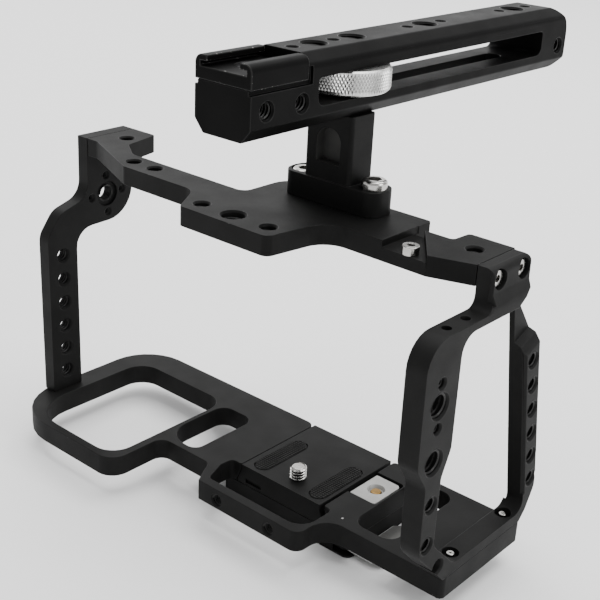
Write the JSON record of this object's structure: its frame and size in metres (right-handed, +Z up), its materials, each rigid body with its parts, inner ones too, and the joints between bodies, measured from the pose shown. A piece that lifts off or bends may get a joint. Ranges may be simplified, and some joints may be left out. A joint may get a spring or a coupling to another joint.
{
  "type": "camera cage",
  "caption": "Black metal cage for a box-style cinema camera: looped base with sliding locked plate, side brackets, top bar, riser and sliding top handle with shoe and knurled wheel.",
  "frame": {"origin": "mouth of the 3/8 inch tripod thread on the underside, below the lens axis; the part stands on z = 0", "axes": "+Z up; -Y towards the lens side, +Y towards the camera's back; +X towards the right bracket with the lock, -X towards the side loop"},
  "size_m": [0.1934, 0.1815, 0.1765],
  "materials": {
    "anodised": "matte black anodised, fine grain",
    "black_steel": "black oxide",
    "steel": "satin stainless",
    "steel_lever": "ground steel",
    "spring_steel": "bright spring wire",
    "satin_silver": "satin, bead blasted",
    "brass": "plain turned",
    "knurled_steel": "diamond knurled",
    "rubber": "fine square grid texture"
  },
  "bodies": {
    "cage": {"base_plate": "anodised", "qr_housing": "anodised", "housing_screws": "steel", "lever_cover": "anodised", "lever_pivot": "steel", "left_arm": "anodised", "arm_top_screws": "steel", "arm_foot_screws": "steel", "top_bar": "anodised", "top_cap_screw": "steel", "right_bracket": "anodised", "bracket_head_screws": "steel", "bracket_foot_screws": "steel", "riser": "anodised", "riser_bolts": "steel", "riser_stud": "steel", "clamp_washer": "steel"},
    "handle": {"handle_body": "anodised", "cold_shoe": "anodised", "cold_shoe_screw": "black_steel"},
    "wheel": {"thumbwheel": "knurled_steel"},
    "plate": {"qr_plate": "anodised", "qr_pad_left": "rubber", "qr_pad_right": "rubber"},
    "camera_screw_body": {"qr_screw": "steel"},
    "block": {"lock_block": "satin_silver"},
    "pin": {"lock_pin": "brass", "lock_spring": "spring_steel"},
    "lever": {"lock_lever": "steel_lever"}
  },
  "joints": [
    {"name": "handle_slide", "type": "slide", "parent": "cage", "child": "handle", "axis": [0, 1, 0], "range_m": [-0.088, 0.009]},
    {"name": "wheel_spin", "type": "hinge", "parent": "cage", "child": "wheel", "pos_m": [0, -0.0003, 0.164], "axis": [0, 0, 1], "continuous": true},
    {"name": "plate_slide", "type": "slide", "parent": "cage", "child": "plate", "axis": [0, 1, 0], "range_m": [0, 0.045]},
    {"name": "camera_screw_spin", "type": "hinge", "parent": "plate", "child": "camera_screw_body", "pos_m": [0, -0.0125, 0.016], "axis": [0, 0, 1], "continuous": true},
    {"name": "lever_turn", "type": "hinge", "parent": "cage", "child": "lever", "pos_m": [0.0253, -0.013, 0.003], "axis": [0, 0, -1], "range_deg": [0, 42]},
    {"name": "block_slide", "type": "slide", "parent": "cage", "child": "block", "axis": [1, 0, 0], "range_m": [0, 0.000386]},
    {"name": "pin_press", "type": "slide", "parent": "block", "child": "pin", "axis": [0, 0, -1], "range_m": [0, 0.002], "stiffness_N_per_m": 200, "deforming": ["lock_spring"]}
  ],
  "couplings": [
    {"joint": "lever_turn", "follows": "block_slide", "rad_per_m": 1808.3}
  ]
}
